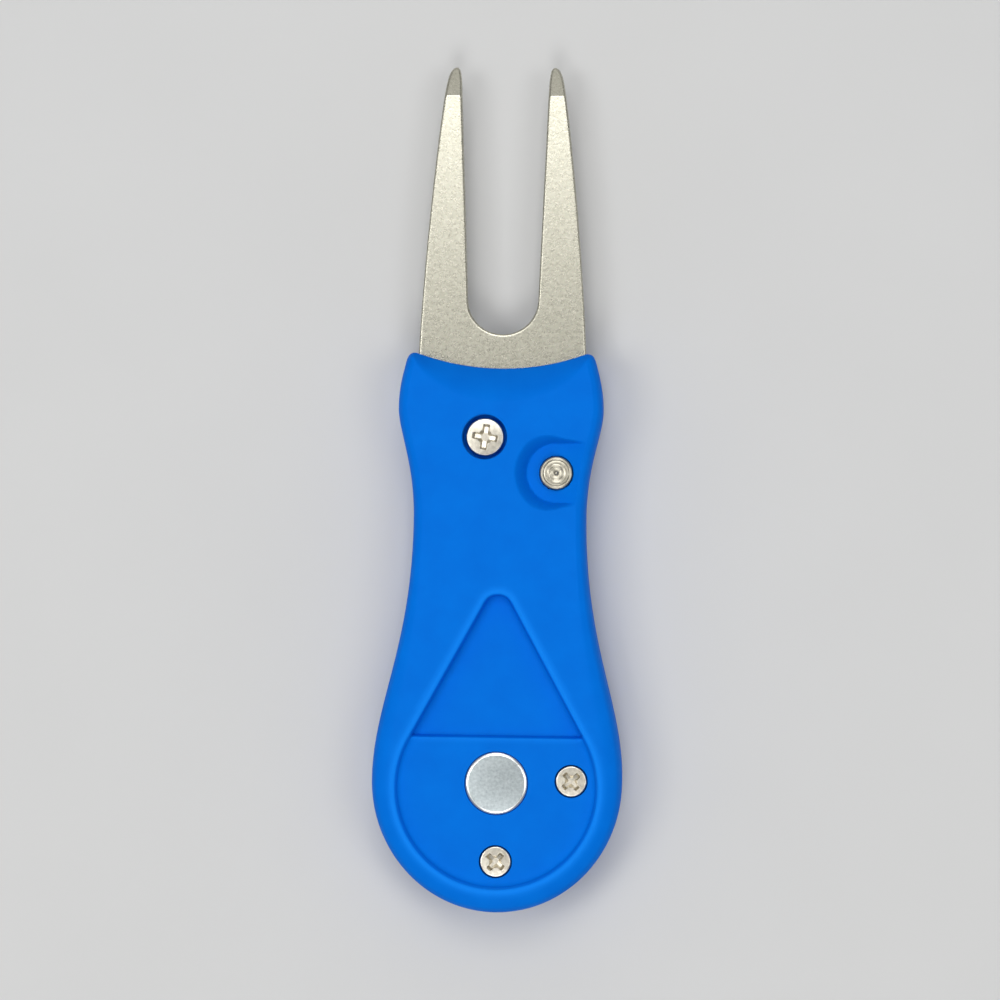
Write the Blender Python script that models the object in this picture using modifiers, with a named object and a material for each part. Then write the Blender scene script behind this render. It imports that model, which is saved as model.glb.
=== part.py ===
"""Golf divot repair tool, switchblade type.

A two-pronged steel fork folds sideways into a moulded handle made of two covers.
A torsion spring drives it open, a leaf spring with a bent-up tooth locks it open
and closed, and a button on the front cover presses the leaf down to release it.

Frame: +Y points to the fork's tips and +Z out of the button side. The origin is the
middle of the bounding box, on the handle's flat back (z = 0). Dimensions below are
in millimetres and become metres where the meshes are made.
"""
import math

import bmesh
import bpy
from mathutils import Matrix, Vector

MM = 0.001
ASSEMBLY = "divot_tool"

# Handle
THICKNESS = 11.4
PARTING = 5.7
PARTING_GAP = 0.06
BULB_CENTRE = (0.0, -38.0)
BULB_HALF_WIDTH = 16.2
BULB_HALF_HEIGHT = 16.9
WAIST = (11.1, -3.8)
SHOULDER = (13.2, 10.2)
HORN_SIDE = (12.25, 16.3)
HORN_TOP = (11.4, 17.35)
HORN_INNER = (10.95, 17.35)
MOUTH_BOTTOM = (0.0, 15.5)
EDGE_RADIUS = 1.5
WALL = 1.7
SLOT_LOW = 4.3
SLOT_HIGH = 7.1
SCOOP_TOP_Y = 10.9
SCOOP_RADIUS = 15.0

# Fork
FORK_LOW = 4.7
FORK_HIGH = 6.7
FORK_ROOT_HALF_WIDTH = 10.95
TIP_Y = 54.9
TIP_X = 6.4
TIP_BEVEL_START = 51.0
TIP_BEVEL_DROP = 1.1
GAP_RADIUS = 4.6
GAP_CENTRE_Y = 24.6
TANG_RADIUS = 9.0
STOP_SHOULDER_Y = 9.0
NOTCH_WIDTH = 1.7
NOTCH_INNER = 7.0

# Pivot
PIVOT = (-1.96, 6.55)
POST_RADIUS = 2.5
POST_HEAD_RADIUS = 3.6
POST_HEAD_HEIGHT = 1.2
POST_TOP = 7.6
PIVOT_HEAD_RADIUS = 2.45
PIVOT_BORE_RADIUS = 2.98
PIVOT_HEAD_SEAT = 8.7
PIVOT_HEAD_TOP = 10.2
PIVOT_SHANK_RADIUS = 1.1
WASHER_THICKNESS = 0.3
REAR_WASHER_RADIUS = 3.5
FRONT_WASHER_RADIUS = 4.6

# Button and lock
BUTTON = (7.3, 2.0)
BUTTON_RADIUS = 2.15
BUTTON_TOP = 10.8
THUMB_FLOOR = 9.9
THUMB_RADIUS = 4.3
THUMB_TILT = 9.0
FLANGE_RADIUS = 3.2
FLANGE_LOW = 8.1
FLANGE_HIGH = 8.7
STEM_RADIUS = 1.0
LEAF_LOW = 3.0
LEAF_HIGH = 3.4
LEAF_TRAVEL = 1.4
TOOTH_SIZE = 1.4
TOOTH_TOP = 5.7
TOOTH_ORBIT = 7.9
LOCK_SCREW_X = 6.6
LOCK_SCREW_YS = (-15.4, -12.0)

# Fork spring
COIL_RADIUS = 4.3
COIL_WIRE = 0.7
COIL_TURNS = 2
COIL_LOW = 2.45
COIL_PITCH = 0.8

# Stops
STOP_PIN_RADIUS = 1.0
OPEN_STOP = (9.3, 7.85)
CLOSED_STOP = (6.3, -26.9)

# Ball marker recess
RECESS_RADIUS = 13.0
RECESS_CENTRE = (0.0, -38.6)
RECESS_SHOULDER = (11.2, -31.9)
RECESS_NECK = (2.0, -15.2)
RECESS_APEX = (0.0, -13.7)
STEP_Y = -32.2
SEAT_Z = 10.1
DEEP_Z = 9.1
DEEP_LEDGE = 0.15
MAGNET = (0.0, -38.1)
MAGNET_RADIUS = 4.05
MAGNET_THICKNESS = 2.0
COVER_SCREWS = {"side": (9.65, -37.7), "bottom": (0.0, -48.2)}
COVER_HEAD_RADIUS = 2.0
COVER_HEAD_HEIGHT = 1.3
COVER_SHANK_RADIUS = 0.9
BOSS_RADIUS = 2.9
INSERT_RADIUS = 1.9

# Clearances and facets
FIT = 0.1
SKIN = 0.05
ROUND = 48
SMALL_ROUND = 24
OVERCUT = 3.0

BLUE = (0.003, 0.16, 0.73)
STEEL = (0.62, 0.60, 0.55)
NICKEL = (0.70, 0.67, 0.60)
BRASS = (0.72, 0.52, 0.22)
DARK_STEEL = (0.30, 0.30, 0.31)


# Outlines, as lists of (x, y) in millimetres

def arc(centre, radius, start, end, count):
    """Points on an arc, angles in degrees, both ends included."""
    points = []
    for index in range(count + 1):
        angle = math.radians(start + (end - start) * index / count)
        points.append((centre[0] + radius * math.cos(angle), centre[1] + radius * math.sin(angle)))
    return points


def bulb_arc(margin, start, end, count):
    """Points on the bulb's oval, or inside it by a margin; angles in degrees."""
    points = arc((0, 0), 1, start, end, count)
    width, height = BULB_HALF_WIDTH - margin, BULB_HALF_HEIGHT - margin
    return [(BULB_CENTRE[0] + x * width, BULB_CENTRE[1] + y * height) for x, y in points]


def circle(centre, radius, count=ROUND):
    """A full circle, without the repeated last point."""
    return arc(centre, radius, 0, 360, count)[:-1]


def bezier(start, handle_a, handle_b, end, count):
    """Points on a cubic curve after its first point, its last point included."""
    points = []
    for index in range(1, count + 1):
        t = index / count
        weights = ((1 - t) ** 3, 3 * t * (1 - t) ** 2, 3 * t * t * (1 - t), t ** 3)
        corners = (start, handle_a, handle_b, end)
        points.append(tuple(sum(w * c[axis] for w, c in zip(weights, corners)) for axis in (0, 1)))
    return points


def mirrored(right_side):
    """A closed outline from its right side, whose first and last points lie on x = 0."""
    left_side = [(-x, y) for x, y in reversed(right_side[1:-1])]
    return right_side + left_side


def inset(points, distance):
    """An open run of points moved to the left of its direction of travel."""
    moved = []
    for index, (x, y) in enumerate(points):
        before = points[max(index - 1, 0)]
        after = points[min(index + 1, len(points) - 1)]
        along = Vector((after[0] - before[0], after[1] - before[1])).normalized()
        moved.append((x - along.y * distance, y + along.x * distance))
    return moved


def handle_right_side():
    """The handle's right side, from the bottom of the bulb up to the shoulder."""
    points = bulb_arc(0.0, -90, 0, 14)
    bulb_side = points[-1]
    points += bezier(bulb_side, (bulb_side[0], bulb_side[1] + 10.0), (WAIST[0], WAIST[1] - 17.0), WAIST, 14)
    points += bezier(WAIST, (WAIST[0], WAIST[1] + 7.0), (SHOULDER[0], SHOULDER[1] - 3.0), SHOULDER, 8)
    return points


def mouth_arc(count):
    """The concave mouth, from the right horn to the middle."""
    half_chord = HORN_INNER[0]
    sag = HORN_INNER[1] - MOUTH_BOTTOM[1]
    radius = (half_chord ** 2 + sag ** 2) / (2 * sag)
    spread = math.degrees(math.asin(half_chord / radius))
    return arc((0, MOUTH_BOTTOM[1] + radius), radius, -90 + spread, -90, count)


def handle_outline():
    """The whole handle, seen from the front."""
    points = handle_right_side()
    points += bezier(SHOULDER, (SHOULDER[0], 13.0), (12.6, 14.9), HORN_SIDE, 4)
    points += bezier(HORN_SIDE, (12.05, 17.0), (11.8, 17.3), HORN_TOP, 3)
    points += mouth_arc(10)
    return mirrored(points)


def slot_outline():
    """The room between the covers: walled on the right and round the bulb, open on the left."""
    right = inset(handle_right_side(), WALL)
    right[0] = (0.0, right[0][1])
    bulb_wall_end = bulb_arc(WALL, -160, -90, 12)[:-1]
    mouth = [(11.25, 20.0), (-20.0, 20.0), (-20.0, -42.0)]
    return right + mouth + bulb_wall_end


def recess_outline():
    """The ball marker recess: a round seat that tapers to an apex above."""
    shoulder_angle = math.degrees(math.atan2(RECESS_SHOULDER[1] - RECESS_CENTRE[1], RECESS_SHOULDER[0]))
    points = arc(RECESS_CENTRE, RECESS_RADIUS, -90, shoulder_angle, 18)
    points += [RECESS_NECK]
    points += bezier(RECESS_NECK, (1.55, -14.2), (1.0, RECESS_APEX[1]), RECESS_APEX, 5)
    return mirrored(points)


def deep_recess_outline():
    """The part of the recess above the step, where the marker is tipped out."""
    slope = (RECESS_NECK[0] - RECESS_SHOULDER[0]) / (RECESS_NECK[1] - RECESS_SHOULDER[1])
    step_x = RECESS_SHOULDER[0] + slope * (STEP_Y - RECESS_SHOULDER[1])
    apex = (RECESS_APEX[0], RECESS_APEX[1] - DEEP_LEDGE)
    neck = (RECESS_NECK[0] - DEEP_LEDGE, RECESS_NECK[1] - DEEP_LEDGE)
    right = [(step_x - DEEP_LEDGE, STEP_Y), neck]
    right += bezier(neck, (neck[0] - 0.4, neck[1] + 1.0), (1.0, apex[1]), apex, 5)
    return right + [(-x, y) for x, y in reversed(right[:-1])]


def thumb_outline():
    """The thumb recess seen along its floor, from its left foot to past the handle's right side."""
    round_end = arc((THUMB_RADIUS, 0), THUMB_RADIUS, 90, 270, 24)
    return [(4 * THUMB_RADIUS, THUMB_RADIUS)] + round_end + [(4 * THUMB_RADIUS, -THUMB_RADIUS)]


def fork_outline():
    """The fork: two tines, a root as wide as the mouth, and a round tang about the pivot."""
    tine_outer = [(FORK_ROOT_HALF_WIDTH, 16.0)]
    tine_outer += bezier(tine_outer[0], (10.6, 27.0), (8.75, 46.0), (7.65, 52.6), 10)
    tip = bezier(tine_outer[-1], (7.45, 53.8), (7.05, TIP_Y), (TIP_X, TIP_Y), 4)
    tip += bezier((TIP_X, TIP_Y), (6.0, TIP_Y), (5.8, 54.35), (5.7, 52.6), 4)
    gap = [(-x, y) for x, y in arc((0, GAP_CENTRE_Y), GAP_RADIUS, 180, 270, 8)]
    half = tine_outer + tip + gap
    left_half = [(-x, y) for x, y in reversed(half[:-1])]
    tang_start = math.degrees(math.asin((STOP_SHOULDER_Y - PIVOT[1]) / TANG_RADIUS))
    tang = arc(PIVOT, TANG_RADIUS, 150 - 360, tang_start, 40)
    shoulder = [(FORK_ROOT_HALF_WIDTH - 0.6, STOP_SHOULDER_Y), (FORK_ROOT_HALF_WIDTH, STOP_SHOULDER_Y + 0.6)]
    return half + left_half + tang + shoulder


def lock_spring_outline(grow=0.0):
    """The leaf: a screwed foot, a narrow neck and a wide head under the button."""
    right = [(8.6, -17.0), (8.6, -10.4), (8.0, -9.4), (8.0, -1.6), (8.9, -0.4), (8.9, 4.3)]
    left = [(4.1, 4.3), (4.1, 0.6), (5.2, -1.0), (5.2, -9.4), (4.6, -10.4), (4.6, -17.0)]
    if not grow:
        return right + left
    middle = LOCK_SCREW_X
    grown = []
    for x, y in right + left:
        side = grow if x > middle else -grow
        end = grow if y > 0 else -grow if y < -16 else 0.0
        grown.append((x + side, y + end))
    return grown


# Solids

def make_collection(name):
    """A new collection in the scene."""
    collection = bpy.data.collections.new(name)
    bpy.context.scene.collection.children.link(collection)
    return collection


def add_mesh(name, mesh, as_cutter=False):
    """Wrap a mesh as an object, among the parts or among the cutters."""
    solid = bpy.data.objects.new(name, mesh)
    if as_cutter:
        CUTTERS.objects.link(solid)
        solid.hide_render = True
        solid.display_type = "WIRE"
    else:
        PARTS.objects.link(solid)
    return solid


def plate(name, outlines, low, high, as_cutter=False):
    """A flat plate between two heights; outlines after the first are holes in it."""
    curve = bpy.data.curves.new(name, "CURVE")
    curve.dimensions = "2D"
    curve.fill_mode = "BOTH"
    curve.extrude = (high - low) / 2 * MM
    for outline in outlines:
        spline = curve.splines.new("POLY")
        spline.points.add(len(outline) - 1)
        for point, (x, y) in zip(spline.points, outline):
            point.co = (x * MM, y * MM, 0, 1)
        spline.use_cyclic_u = True
    holder = bpy.data.objects.new(name + "_curve", curve)
    PARTS.objects.link(holder)
    mesh = curve_as_mesh(holder)
    mesh.transform(Matrix.Translation((0, 0, (low + high) / 2 * MM)))
    return add_mesh(name, mesh, as_cutter)


def curve_as_mesh(holder):
    """The evaluated mesh of a curve object, its caps welded; the curve is removed."""
    depsgraph = bpy.context.evaluated_depsgraph_get()
    mesh = bpy.data.meshes.new_from_object(holder.evaluated_get(depsgraph))
    work = bmesh.new()
    work.from_mesh(mesh)
    bmesh.ops.remove_doubles(work, verts=work.verts, dist=1e-7)
    bmesh.ops.recalc_face_normals(work, faces=work.faces)
    work.to_mesh(mesh)
    work.free()
    mesh.transform(holder.matrix_world)
    bpy.data.objects.remove(holder, do_unlink=True)
    return mesh


def cylinder(name, centre, radius, low, high, sides=ROUND, as_cutter=True):
    """An upright cylinder."""
    work = bmesh.new()
    place = Matrix.Translation((centre[0] * MM, centre[1] * MM, (low + high) / 2 * MM))
    bmesh.ops.create_cone(
        work, cap_ends=True, segments=sides, radius1=radius * MM, radius2=radius * MM,
        depth=(high - low) * MM, matrix=place,
    )
    mesh = bpy.data.meshes.new(name)
    work.to_mesh(mesh)
    work.free()
    return add_mesh(name, mesh, as_cutter)


def box(name, size, centre, turn=Matrix(), as_cutter=True):
    """A box of the given size, turned about its own centre."""
    work = bmesh.new()
    bmesh.ops.create_cube(work, size=MM)
    place = Matrix.Translation(Vector(centre) * MM) @ turn @ Matrix.Diagonal((*size, 1))
    bmesh.ops.transform(work, matrix=place, verts=work.verts)
    mesh = bpy.data.meshes.new(name)
    work.to_mesh(mesh)
    work.free()
    return add_mesh(name, mesh, as_cutter)


def turned(name, centre, profile, closed=False, sides=ROUND):
    """A turned piece from (radius, z) points that run down its outer side."""
    work = bmesh.new()
    verts = [work.verts.new((radius * MM, 0, z * MM)) for radius, z in profile]
    for start, end in zip(verts, verts[1:]):
        work.edges.new((start, end))
    if closed:
        work.edges.new((verts[-1], verts[0]))
    mesh = bpy.data.meshes.new(name)
    work.to_mesh(mesh)
    work.free()
    solid = add_mesh(name, mesh)
    solid.location = (centre[0] * MM, centre[1] * MM, 0)
    screw = solid.modifiers.new("Turn", "SCREW")
    screw.axis = "Z"
    screw.angle = math.tau
    screw.steps = sides
    screw.render_steps = sides
    screw.use_merge_vertices = True
    screw.merge_threshold = 1e-7
    return solid


def cut(solid, *cutters):
    """Subtract cutters from a solid."""
    for cutter in cutters:
        boolean = solid.modifiers.new("Cut " + cutter.name, "BOOLEAN")
        boolean.operation = "DIFFERENCE"
        boolean.object = cutter


def join(solid, *pieces):
    """Unite helper solids with a solid."""
    for piece in pieces:
        boolean = solid.modifiers.new("Join " + piece.name, "BOOLEAN")
        boolean.operation = "UNION"
        boolean.object = piece


def round_outer_edge(solid, height):
    """Round the outer edge of a plate that lies at the given height."""
    mesh = solid.data
    weights = mesh.attributes.new("bevel_weight_edge", "FLOAT", "EDGE")
    for edge, weight in zip(mesh.edges, weights.data):
        at_height = all(abs(mesh.vertices[v].co.z - height * MM) < 1e-6 for v in edge.vertices)
        weight.value = 1.0 if at_height and is_rim(mesh, edge) else 0.0
    bevel = solid.modifiers.new("Round edge", "BEVEL")
    bevel.limit_method = "WEIGHT"
    bevel.width = EDGE_RADIUS * MM
    bevel.segments = 4


def is_rim(mesh, edge):
    """Whether an edge of a plate belongs to one upright face."""
    key = set(edge.vertices)
    upright = 0
    for polygon in mesh.polygons:
        if key <= set(polygon.vertices) and abs(polygon.normal.z) < 0.5:
            upright += 1
    return upright == 1


def pivot_about(solid, centre):
    """Put a moving piece's origin on its joint's axis."""
    offset = Vector((centre[0] * MM, centre[1] * MM, 0))
    solid.data.transform(Matrix.Translation(-offset))
    solid.location = offset


def finish(solid, colour, roughness, metallic):
    """Give a piece its own material and smooth its round sides."""
    material = bpy.data.materials.new(solid.name + "_material")
    material.use_nodes = True
    shader = material.node_tree.nodes["Principled BSDF"]
    shader.inputs["Base Color"].default_value = (*colour, 1)
    shader.inputs["Roughness"].default_value = roughness
    shader.inputs["Metallic"].default_value = metallic
    solid.data.materials.append(material)
    solid.data.shade_smooth()
    solid.data.set_sharp_from_angle(angle=math.radians(35))
    return solid


def cross_recess(name, centre, top, depth, span):
    """The two crossed slots of a Phillips head."""
    slots = []
    for index, turn in enumerate((Matrix.Rotation(math.radians(20), 4, "Z"),
                                  Matrix.Rotation(math.radians(110), 4, "Z"))):
        place = (*centre, top - depth / 2 + 0.5)
        slots.append(box(f"{name}_slot_{index}", (span, 0.62, depth + 1.0), place, turn))
    return slots


# Sub-parts

def slot_cutter():
    """The room between the covers, with the two screw bosses left standing in it."""
    bosses = [circle(place, BOSS_RADIUS, SMALL_ROUND) for place in COVER_SCREWS.values()]
    return plate("slot_room", [slot_outline()] + bosses, SLOT_LOW, SLOT_HIGH, as_cutter=True)


def make_front_cover(slot_room):
    """The upper moulding, with the marker recess, thumb recess, scoop and bores."""
    cover = plate("front_cover", [handle_outline()], PARTING + PARTING_GAP / 2, THICKNESS)
    round_outer_edge(cover, THICKNESS)
    above = THICKNESS + OVERCUT
    seat = plate("marker_seat", [recess_outline()], SEAT_Z, above, as_cutter=True)
    deep = plate("marker_tip_room", [deep_recess_outline()], DEEP_Z, above, as_cutter=True)
    core = plate("front_core", [[(-8.6, -12.0), (2.2, -12.0), (2.2, -4.2), (-8.2, -4.2)]],
                 SLOT_HIGH - OVERCUT / 2, 9.4, as_cutter=True)
    scoop_tilt = Matrix.Rotation(math.radians(45), 4, "X")
    scoop = cylinder("mouth_scoop", (0, 0), SCOOP_RADIUS, -20, 20, sides=96)
    middle = Vector((0, SCOOP_TOP_Y + SCOOP_RADIUS * math.sqrt(2), THICKNESS)) * MM
    scoop.data.transform(Matrix.Translation(middle) @ scoop_tilt)
    cut(cover, slot_room, seat, deep, core, scoop)

    thumb = plate("thumb_recess", [thumb_outline()], 0, above - THUMB_FLOOR, as_cutter=True)
    foot = Vector((BUTTON[0] - THUMB_RADIUS, BUTTON[1], THUMB_FLOOR)) * MM
    thumb.data.transform(Matrix.Translation(foot) @ Matrix.Rotation(math.radians(-THUMB_TILT), 4, "Y"))
    button_bore = cylinder("button_bore", BUTTON, BUTTON_RADIUS + 0.12, FLANGE_HIGH - 0.5, above)
    flange_room = cylinder("flange_room", BUTTON, FLANGE_RADIUS + 0.3, SLOT_HIGH - 1, FLANGE_HIGH + SKIN)
    cut(cover, thumb, button_bore, flange_room)

    head_bore = cylinder("pivot_head_bore", PIVOT, PIVOT_BORE_RADIUS, PIVOT_HEAD_SEAT, above)
    post_bore = cylinder("post_top_bore", PIVOT, POST_RADIUS + FIT, SLOT_HIGH - 1, POST_TOP + SKIN)
    shank_bore = cylinder("pivot_shank_bore", PIVOT, PIVOT_SHANK_RADIUS + FIT, POST_TOP - 0.3, above)
    magnet_room = cylinder("magnet_room", MAGNET, MAGNET_RADIUS + FIT, SEAT_Z - MAGNET_THICKNESS - SKIN, above)
    cut(cover, head_bore, post_bore, shank_bore, magnet_room)

    for name, place in COVER_SCREWS.items():
        head_seat = SEAT_Z - COVER_HEAD_HEIGHT - 2 * SKIN
        head = cylinder(name + "_head_bore", place, COVER_HEAD_RADIUS + 0.2, head_seat, above)
        shank = cylinder(name + "_shank_bore", place, COVER_SHANK_RADIUS + FIT, PARTING - 1, above,
                         sides=SMALL_ROUND)
        cut(cover, head, shank)
    open_hole = cylinder("open_pin_hole", OPEN_STOP, STOP_PIN_RADIUS + FIT, 5.0, 9.05, sides=SMALL_ROUND)
    closed_hole = cylinder("closed_pin_hole", CLOSED_STOP, STOP_PIN_RADIUS + FIT, 5.0, 8.35, sides=SMALL_ROUND)
    cut(cover, open_hole, closed_hole)
    return finish(cover, BLUE, 0.45, 0.0)


def make_rear_cover(slot_room):
    """The lower moulding, with rooms for both springs, the post and the inserts."""
    cover = plate("rear_cover", [handle_outline()], 0.0, PARTING - PARTING_GAP / 2)
    round_outer_edge(cover, 0.0)
    above = SLOT_LOW + 1.0
    cores = [
        plate("rear_core_upper", [[(-8.6, -14.0), (1.8, -14.0), (1.8, -5.6), (-8.4, -5.6)]], 1.6, above, True),
        plate("rear_core_lower", [[(-10.6, -33.0), (3.2, -33.0), (2.6, -16.0), (-8.8, -16.0)]], 1.6, above, True),
    ]
    cut(cover, slot_room, *cores)

    leaf_seat = plate("leaf_seat", [lock_spring_outline(0.25)], LEAF_LOW - SKIN, above, True)
    free_length = [(4.9, -9.6), (8.3, -9.6), (9.2, -0.4), (9.2, 4.6), (3.8, 4.6), (3.8, -0.4)]
    leaf_room = plate("leaf_room", [free_length], LEAF_LOW - LEAF_TRAVEL, above, True)
    cut(cover, leaf_seat, leaf_room)
    for index, y in enumerate(LOCK_SCREW_YS):
        hole = cylinder(f"lock_screw_hole_{index}", (LOCK_SCREW_X, y), 0.7, 1.1, above, sides=SMALL_ROUND)
        cut(cover, hole)

    coil_walls = [circle(PIVOT, COIL_RADIUS + 0.75), circle(PIVOT, COIL_RADIUS - 0.75)]
    coil_room = plate("coil_room", coil_walls, 1.8, above, True)
    leg_angle = math.radians(200)
    leg_middle = (PIVOT[0] + 6.2 * math.cos(leg_angle), PIVOT[1] + 6.2 * math.sin(leg_angle), 3.3)
    leg_room = box("leg_room", (5.0, 1.3, 3.0), leg_middle, Matrix.Rotation(leg_angle, 4, "Z"))
    cut(cover, coil_room, leg_room)

    post_bore = cylinder("post_bore", PIVOT, POST_RADIUS + FIT, -1, above)
    post_head_bore = cylinder("post_head_bore", PIVOT, POST_HEAD_RADIUS + FIT, -1, POST_HEAD_HEIGHT + 0.2)
    cut(cover, post_bore, post_head_bore)
    for name, place in COVER_SCREWS.items():
        cut(cover, cylinder(name + "_insert_bore", place, INSERT_RADIUS + FIT, 2.0, PARTING + 1, sides=SMALL_ROUND))
    open_hole = cylinder("open_pin_seat", OPEN_STOP, STOP_PIN_RADIUS + FIT, 1.95, 6.0, sides=SMALL_ROUND)
    closed_hole = cylinder("closed_pin_seat", CLOSED_STOP, STOP_PIN_RADIUS + FIT, 1.95, 6.0, sides=SMALL_ROUND)
    cut(cover, open_hole, closed_hole)
    return finish(cover, BLUE, 0.5, 0.0)


def make_fork():
    """The folding fork, its tips bevelled and its tang notched for the lock."""
    fork = plate("fork", [fork_outline(), circle(PIVOT, POST_RADIUS + FIT)], FORK_LOW, FORK_HIGH)
    slope = math.atan2(TIP_BEVEL_DROP, TIP_Y - TIP_BEVEL_START)
    bevel_turn = Matrix.Rotation(-slope, 4, "X")
    bevel_centre = Vector((0, TIP_BEVEL_START, FORK_HIGH)) + bevel_turn @ Vector((0, 5, 3))
    cut(fork, box("tip_bevel", (30, 10, 6), bevel_centre, bevel_turn))
    for name, angle in (("open", lock_angle()), ("closed", lock_angle() + math.pi)):
        turn = Matrix.Rotation(angle, 4, "Z")
        centre = Vector((*PIVOT, FORK_LOW)) + turn @ Vector((NOTCH_INNER + 2, 0, 0))
        cut(fork, box(name + "_notch", (4, NOTCH_WIDTH, 6), centre, turn))
    leg_hole = (PIVOT[0], PIVOT[1] + COIL_RADIUS)
    cut(fork, cylinder("spring_leg_hole", leg_hole, COIL_WIRE / 2 + 0.15, FORK_LOW - 1, FORK_HIGH + 1,
                       sides=SMALL_ROUND))
    finish(fork, STEEL, 0.38, 1.0)
    return fork


def lock_angle():
    """The direction of the lock's tooth from the pivot."""
    return math.atan2(BUTTON[1] - PIVOT[1], BUTTON[0] - PIVOT[0])


def make_pivot_post():
    """The shouldered post that the fork turns on, threaded inside for the pivot screw."""
    bore = PIVOT_SHANK_RADIUS + FIT
    profile = [
        (0, 3.0), (bore, 3.6), (bore, POST_TOP), (POST_RADIUS, POST_TOP), (POST_RADIUS, POST_HEAD_HEIGHT + 0.15),
        (POST_HEAD_RADIUS, POST_HEAD_HEIGHT + 0.15), (POST_HEAD_RADIUS, 0.15), (0, 0.15),
    ]
    return finish(turned("pivot_post", PIVOT, profile), STEEL, 0.35, 1.0)


def make_pivot_screw():
    """The cross-head screw that closes the front cover onto the post."""
    low = PIVOT_HEAD_SEAT + SKIN
    profile = [
        (0, PIVOT_HEAD_TOP), (PIVOT_HEAD_RADIUS - 0.6, PIVOT_HEAD_TOP - 0.08),
        (PIVOT_HEAD_RADIUS, PIVOT_HEAD_TOP - 0.5), (PIVOT_HEAD_RADIUS, low), (PIVOT_SHANK_RADIUS, low),
        (PIVOT_SHANK_RADIUS, 4.4), (0, 4.0),
    ]
    screw = turned("pivot_screw", PIVOT, profile)
    cut(screw, *cross_recess("pivot_screw", PIVOT, PIVOT_HEAD_TOP, 0.8, 2.9))
    return finish(screw, NICKEL, 0.25, 1.0)


def make_washer(name, radius, low):
    """A flat ring about the pivot."""
    bore = POST_RADIUS + FIT
    high = low + WASHER_THICKNESS
    profile = [(bore, low), (bore, high), (radius, high), (radius, low)]
    return finish(turned(name, PIVOT, profile, closed=True), STEEL, 0.3, 1.0)


def make_fork_spring():
    """A torsion coil about the post, one leg in the rear cover and one up into the fork."""
    points = []
    steps = 18 * COIL_TURNS
    start = math.radians(200)
    sweep = math.tau * COIL_TURNS + math.radians(90 - 200)
    points.append((PIVOT[0] + 7.9 * math.cos(start), PIVOT[1] + 7.9 * math.sin(start), COIL_LOW))
    for index in range(steps + 1):
        share = index / steps
        angle = start + sweep * share
        height = COIL_LOW + COIL_PITCH * COIL_TURNS * share
        points.append((PIVOT[0] + COIL_RADIUS * math.cos(angle), PIVOT[1] + COIL_RADIUS * math.sin(angle), height))
    points.append((PIVOT[0], PIVOT[1] + COIL_RADIUS, 6.0))
    curve = bpy.data.curves.new("fork_spring", "CURVE")
    curve.dimensions = "3D"
    curve.bevel_depth = COIL_WIRE / 2 * MM
    curve.bevel_resolution = 2
    curve.use_fill_caps = True
    spline = curve.splines.new("POLY")
    spline.points.add(len(points) - 1)
    for point, place in zip(spline.points, points):
        point.co = (*(Vector(place) * MM), 1)
    spring = bpy.data.objects.new("fork_spring", curve)
    PARTS.objects.link(spring)
    material = bpy.data.materials.new("fork_spring_material")
    material.use_nodes = True
    shader = material.node_tree.nodes["Principled BSDF"]
    shader.inputs["Base Color"].default_value = (*DARK_STEEL, 1)
    shader.inputs["Roughness"].default_value = 0.35
    shader.inputs["Metallic"].default_value = 1.0
    curve.materials.append(material)
    return spring


def make_button():
    """The release button: a ringed head, a captive flange and a stem down to the leaf."""
    r = BUTTON_RADIUS
    top = BUTTON_TOP
    profile = [
        (0, top + 0.1), (0.45, top + 0.1), (0.6, top - 0.1), (1.1, top - 0.1), (1.2, top), (1.6, top),
        (r, top - 0.35), (r, FLANGE_HIGH), (FLANGE_RADIUS, FLANGE_HIGH), (FLANGE_RADIUS, FLANGE_LOW),
        (STEM_RADIUS, FLANGE_LOW), (STEM_RADIUS, LEAF_HIGH + SKIN), (0, LEAF_HIGH + SKIN),
    ]
    return finish(turned("button", BUTTON, profile), STEEL, 0.3, 1.0)


def make_lock_spring():
    """The leaf spring and its bent-up tooth, which sits in the tang's notch."""
    screw_holes = [circle((LOCK_SCREW_X, y), 0.75, SMALL_ROUND) for y in LOCK_SCREW_YS]
    leaf = plate("lock_spring", [lock_spring_outline()] + screw_holes, LEAF_LOW, LEAF_HIGH)
    angle = lock_angle()
    middle = (PIVOT[0] + TOOTH_ORBIT * math.cos(angle), PIVOT[1] + TOOTH_ORBIT * math.sin(angle))
    low = LEAF_HIGH - 0.2
    tooth = box("lock_tooth", (TOOTH_SIZE, TOOTH_SIZE, TOOTH_TOP - low), (*middle, (TOOTH_TOP + low) / 2),
                Matrix.Rotation(angle, 4, "Z"))
    join(leaf, tooth)
    return finish(leaf, DARK_STEEL, 0.35, 1.0)


def make_lock_spring_screw(name, y):
    """A small pan-head screw that holds the leaf's foot."""
    low = LEAF_HIGH + SKIN
    profile = [(0, low + 0.75), (1.1, low + 0.7), (1.4, low + 0.4), (1.4, low), (0.6, low), (0.6, 1.5), (0, 1.2)]
    return finish(turned(name, (LOCK_SCREW_X, y), profile, sides=SMALL_ROUND), NICKEL, 0.3, 1.0)


def make_stop_pin(name, place, top):
    """A dowel held at both ends by the covers."""
    edge = STOP_PIN_RADIUS - 0.15
    profile = [(0, top), (edge, top), (STOP_PIN_RADIUS, top - 0.15), (STOP_PIN_RADIUS, 2.15), (edge, 2.0), (0, 2.0)]
    return finish(turned(name, place, profile, sides=SMALL_ROUND), STEEL, 0.3, 1.0)


def make_magnet():
    """The disc magnet that holds the ball marker."""
    high = SEAT_Z - 0.03
    low = SEAT_Z - MAGNET_THICKNESS
    r = MAGNET_RADIUS
    profile = [(0, high), (r - 0.2, high), (r, high - 0.2), (r, low), (0, low)]
    return finish(turned("magnet", MAGNET, profile), NICKEL, 0.35, 1.0)


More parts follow.
